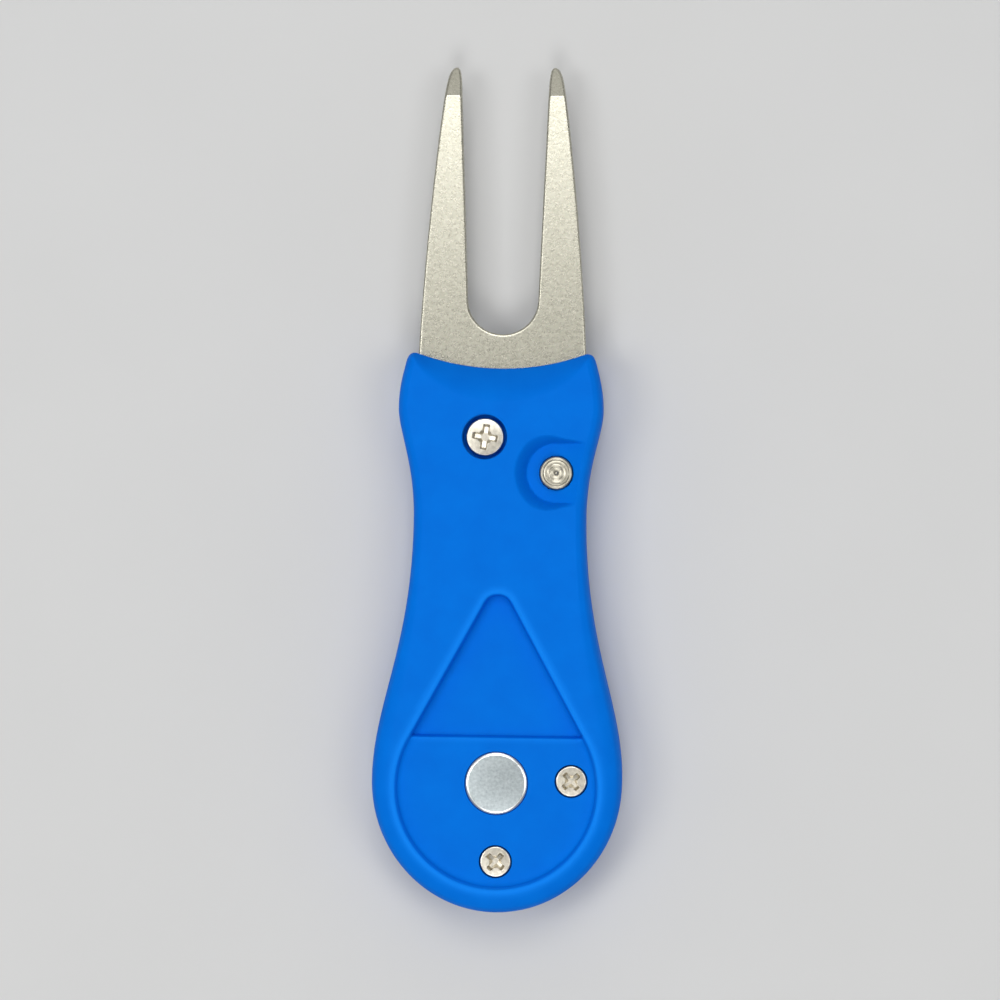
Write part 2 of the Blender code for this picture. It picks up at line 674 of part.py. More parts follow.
def make_cover_screw(name, place):
    """A cross-head screw through the front cover into its insert."""
    high = SEAT_Z - SKIN
    low = high - COVER_HEAD_HEIGHT
    r = COVER_HEAD_RADIUS
    shank = COVER_SHANK_RADIUS
    profile = [(0, high), (r - 0.5, high - 0.05), (r, high - 0.4), (r, low), (shank, low), (shank, 2.9), (0, 2.5)]
    screw = turned(name, place, profile, sides=ROUND // 2)
    cut(screw, *cross_recess(name, place, high, 0.7, 2.4))
    return finish(screw, NICKEL, 0.25, 1.0)


def make_insert(name, place):
    """A threaded brass insert in the rear cover's boss."""
    bore = COVER_SHANK_RADIUS + FIT
    low, high = 2.05, PARTING - PARTING_GAP
    profile = [(bore, low), (bore, high), (INSERT_RADIUS, high), (INSERT_RADIUS, low)]
    return finish(turned(name, place, profile, closed=True, sides=SMALL_ROUND), BRASS, 0.35, 1.0)


def build():
    """All the sub-parts, in their places."""
    slot_room = slot_cutter()
    make_front_cover(slot_room)
    make_rear_cover(slot_room)
    fork = make_fork()
    pivot_about(fork, PIVOT)
    make_pivot_post()
    make_pivot_screw()
    make_washer("rear_washer", REAR_WASHER_RADIUS, FORK_LOW - SKIN - WASHER_THICKNESS)
    make_washer("front_washer", FRONT_WASHER_RADIUS, FORK_HIGH + SKIN)
    make_fork_spring()
    make_button()
    make_lock_spring()
    for letter, y in zip("ab", LOCK_SCREW_YS):
        make_lock_spring_screw("lock_spring_screw_" + letter, y)
    make_stop_pin("open_stop_pin", OPEN_STOP, 9.0)
    make_stop_pin("closed_stop_pin", CLOSED_STOP, 8.3)
    make_magnet()
    for name, place in COVER_SCREWS.items():
        make_cover_screw(name + "_cover_screw", place)
        make_insert(name + "_insert", place)


for old in list(bpy.data.objects):
    bpy.data.objects.remove(old, do_unlink=True)
PARTS = make_collection(ASSEMBLY)
CUTTERS = make_collection(ASSEMBLY + "_cutters")
build()
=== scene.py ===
"""The looks of the switchblade divot tool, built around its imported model.

Every shape is worked out in millimetres in the model's own frame and becomes metres
where its mesh is made. +Y points to the fork's tips and +Z out of the button side.
"""
import math

import bmesh
import bpy
import numpy as np
from mathutils import Matrix, Vector, kdtree
from mathutils.geometry import delaunay_2d_cdt


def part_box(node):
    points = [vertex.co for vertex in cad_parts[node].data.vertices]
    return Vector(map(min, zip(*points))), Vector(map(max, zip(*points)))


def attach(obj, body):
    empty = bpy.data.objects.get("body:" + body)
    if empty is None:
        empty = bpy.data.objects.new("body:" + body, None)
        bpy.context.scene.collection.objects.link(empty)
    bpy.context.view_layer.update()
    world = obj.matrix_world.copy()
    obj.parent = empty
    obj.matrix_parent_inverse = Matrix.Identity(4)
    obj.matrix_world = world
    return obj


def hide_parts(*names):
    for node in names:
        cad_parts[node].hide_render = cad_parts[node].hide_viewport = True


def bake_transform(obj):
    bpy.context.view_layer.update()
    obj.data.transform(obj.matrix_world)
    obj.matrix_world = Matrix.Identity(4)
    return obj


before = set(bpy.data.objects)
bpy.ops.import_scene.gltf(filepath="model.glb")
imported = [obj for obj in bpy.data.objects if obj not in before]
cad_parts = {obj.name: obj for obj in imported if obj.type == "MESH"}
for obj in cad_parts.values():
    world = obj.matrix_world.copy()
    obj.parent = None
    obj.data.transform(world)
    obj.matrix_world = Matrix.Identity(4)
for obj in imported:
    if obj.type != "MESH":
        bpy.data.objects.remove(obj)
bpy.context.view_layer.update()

MM = 0.001


# Places and sizes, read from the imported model

class Place:
    """Where a node lies: its middle in plan, and its lowest and highest points, in millimetres."""

    def __init__(self, node):
        low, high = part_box(node)
        self.low = np.array(low) / MM
        self.high = np.array(high) / MM
        self.x, self.y = (self.low[:2] + self.high[:2]) / 2
        self.radius = (self.high[0] - self.low[0]) / 2
        self.base, self.top = self.low[2], self.high[2]


FRONT = Place("front_cover")
REAR = Place("rear_cover")
FORK = Place("fork")
PIVOT = Place("pivot_post")
PIVOT_SCREW = Place("pivot_screw")
BUTTON = Place("button")
MAGNET = Place("magnet")
COVER_SCREWS = {name: Place(name) for name in ("side_cover_screw", "bottom_cover_screw")}
LEAF = Place("lock_spring")
COIL = Place("fork_spring")

TOP = FRONT.top
BULB_HALF_WIDTH = FRONT.high[0]
BULB_HALF_HEIGHT = BULB_HALF_WIDTH + 0.7
BULB_CENTRE_Y = FRONT.low[1] + BULB_HALF_HEIGHT
HORN_Y = FRONT.high[1]
FORK_LOW, FORK_HIGH = FORK.base, FORK.top
TIP_Y = FORK.high[1]
ROOT_HALF_WIDTH = FORK.high[0]
TANG_CENTRE = (PIVOT.x, PIVOT.y)
TANG_RADIUS = PIVOT.y - FORK.low[1]

# Handle shape
WAIST = (11.1, -3.8)
SHOULDER = (13.2, 10.2)
HORN_SIDE = (12.25, HORN_Y - 1.05)
HORN_TOP = (11.4, HORN_Y)
HORN_INNER = (10.95, HORN_Y)
MOUTH_SAG = 1.85
ROLL_WIDTH = 0.85
ROLL_DROP = 1.4
RIDGE_INSET = 1.25
RIDGE_SLOPE = 0.55
BULB_RIDGE_INSET = 2.75
BULB_CROWN_START, BULB_CROWN_FULL = -9.0, -35.0
PARTING_CHAMFER = 0.14
SLOT_LOW, SLOT_HIGH = 4.3, 7.1
WALL = 1.7
BOSS_RADIUS = 2.9
MESH_INSETS = (1.0, 1.15, 1.2, 1.25, 1.3, 1.4, 1.6, 1.9, 2.3, 2.7)

# Bores in the covers: a gap is what the bore's radius has over its piece's
PIVOT_BORE_RADIUS = 2.86
PIVOT_SEAT, PIVOT_SCREW_SEAT = 8.7, 8.75
BUTTON_GAP, BUTTON_BORE_DEPTH = 0.05, 1.0
MAGNET_GAP, MAGNET_BORE_DEPTH = 0.03, 1.2
SCREW_GAP, SCREW_BORE_DEPTH = 0.11, 1.45
POST_BORE_RADIUS, POST_BORE_DEPTH = 3.72, 1.3

# Mouth slope
SLOPE_LENGTH = 4.7
SLOPE_DROP = 3.5
SLOPE_POWER = 1.5
SLOPE_REACH = 11.35
BRINK_WIDTH, BRINK_DROP = 0.22, 0.2

# Marker recess
RECESS_CENTRE_Y = MAGNET.y - 0.5
RECESS_RADIUS = 13.0
RECESS_SHOULDER = (11.2, -31.9)
RECESS_NECK = (2.0, -15.2)
RECESS_APEX_Y = -13.7
STEP_Y = -32.2
STEP_GAP = 0.02
STEP_RUN = 0.24
STEP_FOOT_RUN, STEP_FOOT_RISE = 0.3, 0.12
STEP_EDGE_WIDTH, STEP_EDGE_DROP = 0.16, 0.1
SEAT_DEPTH = 1.3
DEEP_DEPTH = 2.3
LIP_WIDTH, LIP_DROP = 0.55, 0.32
WALL_RUN = 0.2
FILLET_RUN, FILLET_RISE = 1.0, 0.5

# Thumb recess
THUMB_RADIUS = 3.85
THUMB_DEPTH = 2.1
THUMB_RISE = 2.1
THUMB_SLOPE_WIDE, THUMB_SLOPE_NARROW = 1.55, 0.3
THUMB_SLOPE_REACH = 3.4
THUMB_SLOPE_POWER = 1.25
BUTTON_HEAD_RADIUS = 2.15

# Steel fork
GAP_RADIUS = 4.6
GAP_CENTRE_Y = 24.6
TIP_X = 6.4
TIP_BEVEL_START = 51.0
TIP_BEVEL_DROP = 1.35
STOP_SHOULDER_Y = 9.0
FORK_EDGE_TOP, FORK_EDGE_BOTTOM = 0.28, 0.15
POST_RADIUS = 2.5
LEG_HOLE_RADIUS = 0.5
NOTCH_INNER, NOTCH_OUTER, NOTCH_HALF_WIDTH = 7.0, 11.0, 0.85

# Springs
COIL_RADIUS = 4.3
COIL_ROOM_RADII = (5.05, 3.55)
LEAF_ROOM = 0.3
COIL_TOP = 4.42
LEAF_FOOT_Y, LEAF_HEAD_Y = -10.4, 1.0


# Outlines, as arrays of (x, y)

def arc(centre, radius, start, end, count):
    """Points on an arc, angles in degrees, both ends included."""
    angles = np.radians(np.linspace(start, end, count + 1))
    return np.column_stack((centre[0] + radius * np.cos(angles), centre[1] + radius * np.sin(angles)))


def circle(centre, radius, count):
    """A full circle without a repeated last point."""
    return arc(centre, radius, 0, 360, count)[:-1]


def bezier(start, handle_a, handle_b, end, count):
    """Points on a cubic curve after its first point, its last point included."""
    t = np.linspace(0, 1, count + 1)[1:, None]
    corners = [np.array(c, float) for c in (start, handle_a, handle_b, end)]
    return (
        (1 - t) ** 3 * corners[0] + 3 * t * (1 - t) ** 2 * corners[1]
        + 3 * t * t * (1 - t) * corners[2] + t ** 3 * corners[3]
    )


def mirrored(right_side):
    """A closed outline from its right side, whose first and last points lie on x = 0."""
    return np.vstack((right_side, right_side[-2:0:-1] * (-1, 1)))


def resampled(outline, spacing):
    """A closed outline with evenly spaced points."""
    loop = np.vstack((outline, outline[:1]))
    lengths = np.concatenate(([0], np.cumsum(np.linalg.norm(np.diff(loop, axis=0), axis=1))))
    count = int(round(lengths[-1] / spacing))
    at = np.linspace(0, lengths[-1], count, endpoint=False)
    return np.column_stack([np.interp(at, lengths, loop[:, axis]) for axis in (0, 1)])


def moved_in(outline, distance):
    """A counterclockwise outline moved towards its inside by a distance."""
    along = np.roll(outline, -1, axis=0) - np.roll(outline, 1, axis=0)
    along /= np.linalg.norm(along, axis=1)[:, None]
    return outline + np.column_stack((-along[:, 1], along[:, 0])) * distance


def bulb_arc(margin, start, end, count):
    """Points on the bulb's oval, or inside it by a margin; angles in degrees."""
    half_size = (BULB_HALF_WIDTH - margin, BULB_HALF_HEIGHT - margin)
    return arc((0, 0), 1, start, end, count) * half_size + (0, BULB_CENTRE_Y)


def handle_right_side():
    """The handle's right side, from the bottom of the bulb up to the shoulder."""
    bulb = bulb_arc(0.0, -90, 0, 90)
    side = bulb[-1]
    flank = bezier(side, side + (0, 10.0), (WAIST[0], WAIST[1] - 17.0), WAIST, 60)
    neck = bezier(WAIST, (WAIST[0], WAIST[1] + 7.0), (SHOULDER[0], SHOULDER[1] - 3.0), SHOULDER, 40)
    return np.vstack((bulb, flank, neck))


def handle_flank():
    """The right side and the rounded horn, up to the mouth."""
    horn = bezier(SHOULDER, (SHOULDER[0], 13.0), (12.6, 14.9), HORN_SIDE, 20)
    corner = bezier(HORN_SIDE, (12.05, HORN_Y - 0.35), (11.8, HORN_Y - 0.05), HORN_TOP, 10)
    return np.vstack((handle_right_side(), horn, corner))


def mouth_y(x):
    """Height of the mouth's concave arc at a distance from the middle."""
    radius = (HORN_INNER[0] ** 2 + MOUTH_SAG ** 2) / (2 * MOUTH_SAG)
    inside = np.clip(radius ** 2 - np.square(x), 0, None)
    return HORN_Y - MOUTH_SAG + radius - np.sqrt(inside)


def handle_outline():
    """The whole handle, seen from the front."""
    x = np.linspace(HORN_INNER[0], 0, 40)
    mouth = np.column_stack((x, mouth_y(x)))
    return mirrored(np.vstack((handle_flank(), mouth)))


def recess_outline():
    """The marker recess: a round seat that tapers to an apex."""
    centre = (0.0, RECESS_CENTRE_Y)
    shoulder_angle = math.degrees(math.atan2(RECESS_SHOULDER[1] - centre[1], RECESS_SHOULDER[0]))
    seat = arc(centre, RECESS_RADIUS, -90, shoulder_angle, 60)
    apex = bezier(RECESS_NECK, (1.55, -14.2), (1.0, RECESS_APEX_Y), (0.0, RECESS_APEX_Y), 14)
    return mirrored(np.vstack((seat, [RECESS_NECK], apex)))


def fork_outline():
    """Two tines, a root as wide as the mouth, and a round tang about the pivot."""
    outer = np.vstack(([(ROOT_HALF_WIDTH, 16.0)],
                       bezier((ROOT_HALF_WIDTH, 16.0), (10.6, 27.0), (8.75, 46.0), (7.65, 52.6), 60)))
    tip = np.vstack((bezier(outer[-1], (7.45, 53.8), (7.05, TIP_Y), (TIP_X, TIP_Y), 14),
                     bezier((TIP_X, TIP_Y), (6.0, TIP_Y), (5.8, 54.35), (5.7, 52.6), 14)))
    gap = arc((0, GAP_CENTRE_Y), GAP_RADIUS, 0, -90, 24)
    half = np.vstack((outer, tip, gap))
    left = half[-2::-1] * (-1, 1)
    tang_start = math.degrees(math.asin((STOP_SHOULDER_Y - TANG_CENTRE[1]) / TANG_RADIUS))
    tang = arc(TANG_CENTRE, TANG_RADIUS, 150 - 360, tang_start, 120)
    shoulder = [(ROOT_HALF_WIDTH - 0.6, STOP_SHOULDER_Y), (ROOT_HALF_WIDTH, STOP_SHOULDER_Y + 0.6)]
    return np.vstack((half, left, tang, shoulder))


# Distances

def distance_to_path(points, path):
    """Distance of each point to an open run of segments."""
    start, step = path[:-1], np.diff(path, axis=0)
    length_squared = np.maximum((step ** 2).sum(1), 1e-12)
    nearest = np.empty(len(points))
    for first in range(0, len(points), 4000):
        some = points[first:first + 4000, None] - start
        share = np.clip((some * step).sum(2) / length_squared, 0, 1)
        gap = some - share[:, :, None] * step
        nearest[first:first + 4000] = np.sqrt((gap ** 2).sum(2).min(1))
    return nearest


def is_inside(points, outline):
    """Whether each point lies inside a closed outline."""
    inside = np.zeros(len(points), bool)
    x, y = points[:, 0], points[:, 1]
    for (ax, ay), (bx, by) in zip(outline, np.roll(outline, -1, axis=0)):
        crosses = (ay > y) != (by > y)
        if ay != by:
            inside ^= crosses & (x < (bx - ax) * (y - ay) / (by - ay) + ax)
    return inside


def signed_distance(points, outline):
    """Distance to a closed outline, positive inside it."""
    loop = np.vstack((outline, outline[:1]))
    distance = distance_to_path(points, loop)
    return np.where(is_inside(points, outline), distance, -distance)


# Surfaces made from plan points and heights

def grid_points(low, high, spacing):
    """A triangular grid that fills a rectangle."""
    rows = np.arange(low[1], high[1], spacing * math.sqrt(3) / 2)
    points = []
    for index, y in enumerate(rows):
        shift = spacing / 2 if index % 2 else 0.0
        x = np.arange(low[0] + shift, high[0], spacing)
        points.append(np.column_stack((x, np.full(len(x), y))))
    return np.vstack(points)


def thinned(groups):
    """Points from (points, gap) groups, where a later point keeps its group's gap to all earlier ones."""
    kept = np.empty((0, 2))
    for points, gap in groups:
        if len(kept) and gap > 0:
            tree = kdtree.KDTree(len(kept))
            for index, (x, y) in enumerate(kept):
                tree.insert((x, y, 0), index)
            tree.balance()
            far = [tree.find((x, y, 0))[2] >= gap for x, y in points]
            points = points[np.array(far, bool)]
        kept = np.vstack((kept, points))
    return kept


def relief(name, loops, groups, top, bottom=None, base=None, wall=(), attributes=()):
    """A solid whose upper side follows top(points) over the region inside the first loop and outside
    the others. Its lower side follows bottom(points), or is flat at base below a wall of
    (inset, height) rings. attributes are (name, function of points) pairs, kept on the vertices."""
    boundary = np.vstack(loops)
    edges, first = [], 0
    for loop in loops:
        count = len(loop)
        edges += [(first + i, first + (i + 1) % count) for i in range(count)]
        first += count
    points = thinned([(boundary, 0)] + groups)
    inside = signed_distance(points[len(boundary):], loops[0]) > 0.01
    for hole in loops[1:]:
        inside &= signed_distance(points[len(boundary):], hole) < -0.01
    points = np.vstack((boundary, points[len(boundary):][inside]))
    verts, _, faces, *_ = delaunay_2d_cdt([Vector(p) for p in points], edges, [], 0, 1e-7)
    plan = np.array(verts)
    middles = np.array([plan[list(f)].mean(0) for f in faces])
    keep = is_inside(middles, loops[0])
    for hole in loops[1:]:
        keep &= ~is_inside(middles, hole)
    faces = [f for f, k in zip(faces, keep) if k]

    work = bmesh.new()
    layers = [work.verts.layers.float.new(label) for label, _ in attributes]
    tops = [work.verts.new((x * MM, y * MM, z * MM)) for (x, y), z in zip(plan, top(plan))]
    for face in faces:
        work.faces.new([tops[i] for i in face])
    for layer, (_, rule) in zip(layers, attributes):
        for vert, value in zip(tops, rule(plan)):
            vert[layer] = value
    rims = [e for e in work.edges if len(e.link_faces) == 1]
    if bottom is not None:
        lows = [work.verts.new((x * MM, y * MM, z * MM)) for (x, y), z in zip(plan, bottom(plan))]
        for face in faces:
            work.faces.new([lows[i] for i in reversed(face)])
        twin = dict(zip(tops, lows))
        for edge in rims:
            a, b = edge.verts
            work.faces.new((a, b, twin[b], twin[a]))
    else:
        ring = ordered_rim(rims)
        outline = np.array([v.co[:2] for v in ring]) / MM
        for inset, height in tuple(wall) + ((wall[-1][0] if wall else 0.0, base),):
            place = moved_in(outline, inset)
            below = [work.verts.new((x * MM, y * MM, height * MM)) for x, y in place]
            count = len(ring)
            for i in range(count):
                j = (i + 1) % count
                work.faces.new((ring[i], below[i], below[j], ring[j]))
            ring = below
        work.faces.new(ring)
    bmesh.ops.recalc_face_normals(work, faces=work.faces)
    return finished(name, work)


def ordered_rim(rims):
    """The boundary vertices of a sheet, counterclockwise in plan."""
    follows = {}
    for edge in rims:
        loop = edge.link_loops[0]
        follows[loop.vert] = loop.link_loop_next.vert
    start = next(iter(follows))
    ring = [start]
    while follows[ring[-1]] is not start:
        ring.append(follows[ring[-1]])
    return ring


def finished(name, work, sharp_angle=38):
    """A bmesh as a smooth-shaded object whose steep creases stay sharp."""
    mesh = bpy.data.meshes.new(name)
    work.to_mesh(mesh)
    work.free()
    piece = bpy.data.objects.new(name, mesh)
    bpy.context.scene.collection.objects.link(piece)
    mesh.shade_smooth()
    mesh.set_sharp_from_angle(angle=math.radians(sharp_angle))
    return piece


def applied(piece):
    """The piece with its modifiers applied."""
    bpy.context.view_layer.update()
    depsgraph = bpy.context.evaluated_depsgraph_get()
    mesh = bpy.data.meshes.new_from_object(piece.evaluated_get(depsgraph))
    piece.modifiers.clear()
    piece.data = mesh
    return piece


def carved(piece, cutters):
    """Subtract cutters from a piece and remove them."""
    for cutter in cutters:
        boolean = piece.modifiers.new(cutter.name, "BOOLEAN")
        boolean.operation = "DIFFERENCE"
        boolean.object = cutter
    applied(piece)
    for cutter in cutters:
        bpy.data.objects.remove(cutter, do_unlink=True)
    piece.data.set_sharp_from_angle(angle=math.radians(38))
    return piece


def prism(name, loops, low, high):
    """A flat plate between two heights; loops after the first are holes in it."""
    curve = bpy.data.curves.new(name, "CURVE")
    curve.dimensions = "2D"
    curve.fill_mode = "BOTH"
    curve.extrude = (high - low) / 2 * MM
    for loop in loops:
        spline = curve.splines.new("POLY")
        spline.points.add(len(loop) - 1)
        for point, (x, y) in zip(spline.points, loop):
            point.co = (x * MM, y * MM, 0, 1)
        spline.use_cyclic_u = True
    holder = bpy.data.objects.new(name + "_curve", curve)
    bpy.context.scene.collection.objects.link(holder)
    bpy.context.view_layer.update()
    mesh = bpy.data.meshes.new_from_object(holder.evaluated_get(bpy.context.evaluated_depsgraph_get()))
    bpy.data.objects.remove(holder, do_unlink=True)
    work = bmesh.new()
    work.from_mesh(mesh)
    bmesh.ops.remove_doubles(work, verts=work.verts, dist=1e-8)
    bmesh.ops.recalc_face_normals(work, faces=work.faces)
    bmesh.ops.translate(work, verts=work.verts, vec=(0, 0, (low + high) / 2 * MM))
    return finished(name, work)


def edge_drop(distance, width, depth):
    """How far a rounded edge has fallen at a distance inside it."""
    u = np.clip(1 - distance / width, 0, 1)
    return depth * (1 - np.sqrt(1 - u * u))


def bore_drop(points, centre, radius, depth, rim=0.14):
    """The drop of a straight round bore with a slightly rounded rim."""
    reach = np.hypot(points[:, 0] - centre[0], points[:, 1] - centre[1]) - radius
    wall = np.clip(1 - reach / 0.03, 0, 1) * (depth - rim)
    return wall + edge_drop(reach - 0.03, rim, rim)


def bore_rings(centre, radius, count):
    """Plan points that carry a bore's wall and rim."""
    insets = (-0.25, -0.001, 0.03, 0.05, 0.08, 0.12, 0.17, 0.3)
    return np.vstack([circle(centre, radius + inset, count) for inset in insets])


# Front cover

def recess_drop(points):
    """The marker recess: a rounded lip, a steep wall, a fillet and two floor levels."""
    above_step = points[:, 1] - STEP_Y
    step = np.clip((above_step - STEP_GAP) / STEP_RUN, 0, 1)
    depth = SEAT_DEPTH + (DEEP_DEPTH - SEAT_DEPTH - STEP_FOOT_RISE) * step
    edge = edge_drop(-(above_step - STEP_GAP), STEP_EDGE_WIDTH, STEP_EDGE_DROP)
    depth = depth + edge * (above_step <= STEP_GAP)
    foot = STEP_FOOT_RISE * np.clip(1 - edge_drop(above_step - STEP_RUN, STEP_FOOT_RUN, 1.0), 0, 1)
    depth = depth + np.where(above_step > STEP_GAP, foot, 0)
    inside = signed_distance(points, RECESS)
    lip = edge_drop(-inside, LIP_WIDTH, LIP_DROP) * (inside <= 0)
    share = np.clip(inside / WALL_RUN, 0, 1)
    wall = LIP_DROP + (depth - LIP_DROP - FILLET_RISE) * share
    rise = edge_drop(inside - WALL_RUN, FILLET_RUN, FILLET_RISE)
    floor = depth - rise
    return np.where(inside <= 0, lip, np.where(inside < WALL_RUN, wall, floor))


def thumb_distance(points):
    """Distance outside the thumb floor, which is round on the left and open to the right."""
    x = points[:, 0] - BUTTON.x
    y = points[:, 1] - BUTTON.y
    return np.hypot(np.minimum(x, 0), y) - THUMB_RADIUS


def thumb_drop(points):
    """The thumb recess: deepest at its left foot, its floor rises to the flank's ridge, and its soft
    slope is wide on the left and narrow towards its open ends."""
    x = points[:, 0] - BUTTON.x + THUMB_RADIUS
    rest = np.clip(flank_distance(points) - RIDGE_INSET, 0, None)
    run = np.clip(x, 0, None)
    depth = THUMB_DEPTH * (1 - (run / (run + rest + 1e-6)) ** THUMB_RISE)
    outside = thumb_distance(points)
    along = np.clip(x / (THUMB_RADIUS + THUMB_SLOPE_REACH), 0, 1)
    ease = along * along * (3 - 2 * along)
    width = THUMB_SLOPE_NARROW + (THUMB_SLOPE_WIDE - THUMB_SLOPE_NARROW) * (1 - ease)
    share = np.clip(outside / width, 0, 1)
    return depth * np.where(outside <= 0, 1, (1 - share) ** THUMB_SLOPE_POWER)


def mouth_drop(points):
    """The slope that falls from the top face to the mouth, long in the middle and short at the horns."""
    x = np.clip(np.abs(points[:, 0]) / SLOPE_REACH, 0, 1)
    size = np.sqrt(1 - x * x)
    share = np.clip((mouth_y(points[:, 0]) - points[:, 1]) / np.maximum(SLOPE_LENGTH * size, 1e-3), 0, 1)
    slope = SLOPE_DROP * size * (1 - share) ** SLOPE_POWER
    brink = edge_drop(np.clip(mouth_y(points[:, 0]) - points[:, 1], 0, None), BRINK_WIDTH, BRINK_DROP)
    return slope + brink


def flank_distance(points):
    """Distance from either flank's outline."""
    return distance_to_path(np.column_stack((np.abs(points[:, 0]), points[:, 1])), FLANK)


def ridge_inset(points):
    """How far inside the flank the edge begins to fall: narrow at the waist and wide round the bulb."""
    share = np.clip((BULB_CROWN_START - points[:, 1]) / (BULB_CROWN_START - BULB_CROWN_FULL), 0, 1)
    return RIDGE_INSET + (BULB_RIDGE_INSET - RIDGE_INSET) * share * share * (3 - 2 * share)


def flank_roll(points):
    """The rounded outer edge of both flanks, which leaves the mouth alone."""
    inside = flank_distance(points)
    inset = ridge_inset(points)
    crown = (inset - RIDGE_INSET) / (BULB_RIDGE_INSET - RIDGE_INSET)
    ridge = inset * RIDGE_SLOPE * np.clip(1 - inside / inset, 0, 1) ** (1 + 0.8 * crown)
    return np.hypot(ridge, 0.03) - 0.03 + edge_drop(inside, ROLL_WIDTH, ROLL_DROP)


def front_height(points):
    """Height of the front cover's outer face."""
    drop = flank_roll(points) + thumb_drop(points) + mouth_drop(points) + recess_drop(points)
    drop += bore_drop(points, (PIVOT.x, PIVOT.y), PIVOT_BORE_RADIUS, TOP - PIVOT_SEAT)
    drop += bore_drop(points, (BUTTON.x, BUTTON.y), BUTTON_HEAD_RADIUS + BUTTON_GAP, BUTTON_BORE_DEPTH, rim=0.05)
    drop += bore_drop(points, (MAGNET.x, MAGNET.y), MAGNET.radius + MAGNET_GAP, MAGNET_BORE_DEPTH, rim=0.06)
    for place in COVER_SCREWS.values():
        drop += bore_drop(points, (place.x, place.y), place.radius + SCREW_GAP, SCREW_BORE_DEPTH, rim=0.06)
    return TOP - drop


def front_painted_highlight(points):
    """Where the colour gets a painted highlight: a bright band along the recess's lip and along the step's raised
    edge.
    """
    inside = signed_distance(points, RECESS)
    # Painted highlight: a band just outside the recess's edge, on its lip.
    lip = np.exp(-((inside + 0.35) / 0.5) ** 2) * (inside < 0.15)
    # Painted highlight along the raised edge of the seat at the step.
    step = np.exp(-((points[:, 1] - STEP_Y + 0.2) / 0.16) ** 2) * (inside > 0.3)
    return np.clip(lip + 0.6 * step, 0, 1)


def offset_rings(outline, offsets):
    """Copies of an outline at several insets, without the points that have crossed over."""
    rings = []
    for offset in offsets:
        ring = moved_in(outline, offset)
        true = np.abs(np.abs(signed_distance(ring, outline)) - abs(offset)) < 0.03
        rings.append(ring[true])
    return np.vstack(rings)


def roll_insets(width):
    """Insets that follow a quarter round in even steps."""
    return tuple(width * (1 - math.cos(step * math.pi / 24)) for step in range(1, 13))


def make_front_cover():
    """The front cover's outer face in relief, carved underneath for the fork and the button."""
    groups = [
        (offset_rings(HANDLE_LINE, roll_insets(ROLL_WIDTH) + MESH_INSETS), 0.012),
        (offset_rings(resampled(RECESS, 0.3), (-0.7, -0.55, -0.48, -0.4, -0.3, -0.2, -0.12, -0.05, 0.0,
                                               0.07, 0.14, 0.17, 0.22, 0.3, 0.42, 0.58, 0.75, 1.0)), 0.02),
        (bore_rings((PIVOT.x, PIVOT.y), PIVOT_BORE_RADIUS, 96), 0.02),
        (bore_rings((BUTTON.x, BUTTON.y), BUTTON_HEAD_RADIUS + BUTTON_GAP, 72), 0.02),
        (bore_rings((MAGNET.x, MAGNET.y), MAGNET.radius + MAGNET_GAP, 96), 0.02),
    ]
    for place in COVER_SCREWS.values():
        groups.append((bore_rings((place.x, place.y), place.radius + SCREW_GAP, 64), 0.02))
    step_x = np.arange(-11.2, 11.2, 0.3)
    for offset in (-0.3, -0.14, -0.09, -0.04, 0.02, 0.1, 0.18, 0.26, 0.34, 0.46):
        groups.append((np.column_stack((step_x, np.full(len(step_x), STEP_Y + offset))), 0.03))
    mouth_x = np.arange(-10.8, 10.8, 0.3)
    for offset in (0.04, 0.09, 0.15, 0.22, 0.35):
        groups.append((np.column_stack((mouth_x, mouth_y(mouth_x) - offset)), 0.03))
    thumb_low = (BUTTON.x - 6.2, BUTTON.y - 6.2)
    groups.append((grid_points(thumb_low, (BUTTON.x + 6.2, BUTTON.y + 6.2), 0.17), 0.08))
    groups.append((grid_points((-12.0, 9.5), (12.0, HORN_Y), 0.28), 0.12))
    groups.append((grid_points(FRONT.low[:2], FRONT.high[:2], 0.55), 0.2))
    wall = ((0.0, FRONT.base + 1.2), (0.0, FRONT.base + PARTING_CHAMFER))
    # The vertex attribute carries the painted highlight on the recess's lip and step edge.
    cover = relief("front_cover_shell", [HANDLE_LINE], groups, front_height, base=FRONT.base,
                   wall=wall + ((PARTING_CHAMFER, FRONT.base),), attributes=[("painted_highlight", front_painted_highlight)])
    cutters = [
        slot_room(),
        prism("flange_room", [circle((BUTTON.x, BUTTON.y), BUTTON.radius + 0.3, 48)], 6.1, 8.75),
        prism("front_core", [np.array([(-8.6, -12.0), (2.2, -12.0), (2.2, -4.2), (-8.2, -4.2)])], 5.6, 9.0),
    ]
    return carved(cover, cutters)


def slot_room():
    """The room between the covers, with the two screw bosses left standing in it."""
    right = moved_in(handle_right_side(), WALL)[1:-1]
    right = np.vstack(([(0.0, FRONT.low[1] + WALL)], right))
    bulb_end = bulb_arc(WALL, -160, -91, 30)
    mouth = [(11.25, 20.0), (-20.0, 20.0), (-20.0, -42.0)]
    bosses = [circle((place.x, place.y), BOSS_RADIUS, 40) for place in COVER_SCREWS.values()]
    return prism("slot_room", [np.vstack((right, mouth, bulb_end))] + bosses, SLOT_LOW, SLOT_HIGH)


# Rear cover

def rear_depth(points):
    """The rear cover's back, mirrored upwards: its rounded edge and the post's counterbore."""
    drop = edge_drop(signed_distance(points, HANDLE), ROLL_WIDTH, ROLL_DROP)
    drop += bore_drop(points, (PIVOT.x, PIVOT.y), POST_BORE_RADIUS, POST_BORE_DEPTH, rim=0.15)
    return -drop


